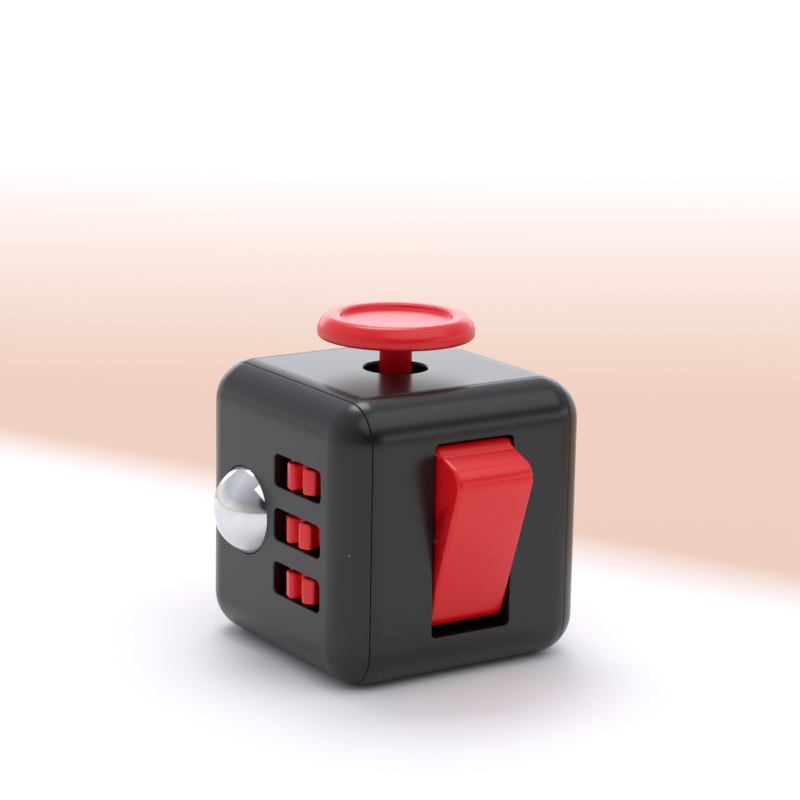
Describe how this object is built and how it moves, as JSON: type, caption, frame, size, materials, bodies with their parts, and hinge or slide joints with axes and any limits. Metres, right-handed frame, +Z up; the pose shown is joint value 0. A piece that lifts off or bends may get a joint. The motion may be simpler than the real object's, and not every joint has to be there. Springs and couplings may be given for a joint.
{
  "type": "fidget cube",
  "caption": "Pocket fidget cube with a thumb joystick, rocker, rolling gears, a pressing ball, push buttons, a spinning dial and a dished rubbing face.",
  "frame": {"origin": "bottom centre of the object's own box, on the surface that the cube stands on", "axes": "+Z up, out of the joystick face; -Y out of the rocker face; -X out of the gear and ball face; +X out of the button face; +Y out of the dial face"},
  "size_m": [0.0376, 0.0384, 0.0393],
  "materials": {
    "black_shell": "satin moulded, semi-gloss",
    "black_inner": "moulded, plain",
    "red_plastic": "semi-gloss moulded",
    "chrome_ball": "polished",
    "spring_steel": "zinc bright",
    "silicone": "matte translucent grey"
  },
  "bodies": {
    "housing": {"front_panel": "black_shell", "back_panel": "black_shell", "top_plate": "black_shell", "bottom_plate": "black_shell", "left_cap": "black_shell", "right_cap": "black_shell", "joystick_bracket": "black_inner", "rocker_housing": "black_inner", "gear_bracket": "black_inner", "ball_housing": "black_inner", "button_backplate": "black_inner", "joystick_spring": "spring_steel", "joystick_screw_front": "spring_steel", "joystick_screw_back": "spring_steel", "rocker_axle": "spring_steel", "rocker_spring": "spring_steel", "rocker_screw_top": "spring_steel", "rocker_screw_bottom": "spring_steel", "gear_axle": "spring_steel", "gear_click_spring": "spring_steel", "gear_screw_top": "spring_steel", "gear_screw_bottom": "spring_steel", "ball_spring": "spring_steel", "ball_screw_top": "spring_steel", "ball_screw_bottom": "spring_steel", "click_screw_left": "spring_steel", "click_screw_right": "spring_steel", "dial_wave_washer": "spring_steel", "button_dome_1": "silicone", "button_dome_2": "silicone", "button_dome_3": "silicone", "button_dome_4": "silicone", "button_dome_5": "silicone"},
    "joystick_gimbal": {"joystick_gimbal_ring": "black_inner"},
    "joystick": {"joystick_cap": "red_plastic", "joystick_stem": "red_plastic"},
    "rocker": {"rocker": "red_plastic"},
    "rocker_plunger": {"rocker_plunger": "spring_steel"},
    "gear_top": {"gear_top": "red_plastic"},
    "gear_middle": {"gear_middle": "red_plastic"},
    "gear_bottom": {"gear_bottom": "red_plastic"},
    "ball_plunger": {"ball_plunger": "black_inner"},
    "ball_seat": {"ball_seat": "black_inner"},
    "ball": {"ball": "chrome_ball"},
    "button_1": {"button_1": "red_plastic"},
    "button_2": {"button_2": "red_plastic"},
    "button_3": {"button_3": "red_plastic"},
    "button_4": {"button_4": "red_plastic"},
    "button_5": {"button_5": "red_plastic"},
    "dial": {"dial": "red_plastic", "dial_screw": "spring_steel", "dial_washer": "spring_steel"}
  },
  "joints": [
    {"name": "joystick_tilt_side", "type": "hinge", "parent": "housing", "child": "joystick_gimbal", "pos_m": [0.001, 0.0019, 0.028], "axis": [1, 0, 0], "range_deg": [-11, 11], "stiffness_Nm_per_rad": 0.01, "deforming": ["joystick_spring"]},
    {"name": "joystick_tilt_front", "type": "hinge", "parent": "joystick_gimbal", "child": "joystick", "pos_m": [0.001, 0.0019, 0.028], "axis": [0, 1, 0], "range_deg": [-11, 11], "stiffness_Nm_per_rad": 0.01, "deforming": ["joystick_spring"]},
    {"name": "rocker_flip", "type": "hinge", "parent": "housing", "child": "rocker", "pos_m": [0.001, -0.01215, 0.0167], "axis": [-1, 0, 0], "range_deg": [0, 37]},
    {"name": "rocker_plunger_slide", "type": "slide", "parent": "housing", "child": "rocker_plunger", "axis": [0, 1, 0], "range_m": [0, 0.0005], "stiffness_N_per_m": 300, "springref_m": -0.0005, "deforming": ["rocker_spring"]},
    {"name": "gear_top_roll", "type": "hinge", "parent": "housing", "child": "gear_top", "pos_m": [-0.011, -0.0036, 0.02302], "axis": [0, 0, 1], "continuous": true},
    {"name": "gear_middle_roll", "type": "hinge", "parent": "housing", "child": "gear_middle", "pos_m": [-0.011, -0.0036, 0.0167], "axis": [0, 0, 1], "continuous": true},
    {"name": "gear_bottom_roll", "type": "hinge", "parent": "housing", "child": "gear_bottom", "pos_m": [-0.011, -0.0036, 0.01038], "axis": [0, 0, 1], "continuous": true},
    {"name": "ball_press", "type": "slide", "parent": "housing", "child": "ball_plunger", "axis": [1, 0, 0], "range_m": [0, 0.001], "stiffness_N_per_m": 600, "springref_m": -0.001, "deforming": ["ball_spring"]},
    {"name": "ball_seat_turn", "type": "hinge", "parent": "ball_plunger", "child": "ball_seat", "pos_m": [-0.0069, 0.00815, 0.0166], "axis": [1, 0, 0], "continuous": true},
    {"name": "ball_roll", "type": "hinge", "parent": "ball_seat", "child": "ball", "pos_m": [-0.0132, 0.00815, 0.0166], "axis": [0, 0, 1], "continuous": true},
    {"name": "button_1_press", "type": "slide", "parent": "housing", "child": "button_1", "axis": [-1, 0, 0], "range_m": [0, 0.001], "stiffness_N_per_m": 500, "springref_m": -0.0005, "deforming": ["button_dome_1"]},
    {"name": "button_2_press", "type": "slide", "parent": "housing", "child": "button_2", "axis": [-1, 0, 0], "range_m": [0, 0.001], "stiffness_N_per_m": 500, "springref_m": -0.0005, "deforming": ["button_dome_2"]},
    {"name": "button_3_press", "type": "slide", "parent": "housing", "child": "button_3", "axis": [-1, 0, 0], "range_m": [0, 0.001], "stiffness_N_per_m": 500, "springref_m": -0.0005, "deforming": ["button_dome_3"]},
    {"name": "button_4_press", "type": "slide", "parent": "housing", "child": "button_4", "axis": [-1, 0, 0], "range_m": [0, 0.001], "stiffness_N_per_m": 500, "springref_m": -0.0005, "deforming": ["button_dome_4"]},
    {"name": "button_5_press", "type": "slide", "parent": "housing", "child": "button_5", "axis": [-1, 0, 0], "range_m": [0, 0.001], "stiffness_N_per_m": 500, "springref_m": -0.0005, "deforming": ["button_dome_5"]},
    {"name": "dial_spin", "type": "hinge", "parent": "housing", "child": "dial", "pos_m": [0.001, 0.0159, 0.0165], "axis": [0, 1, 0], "continuous": true}
  ]
}
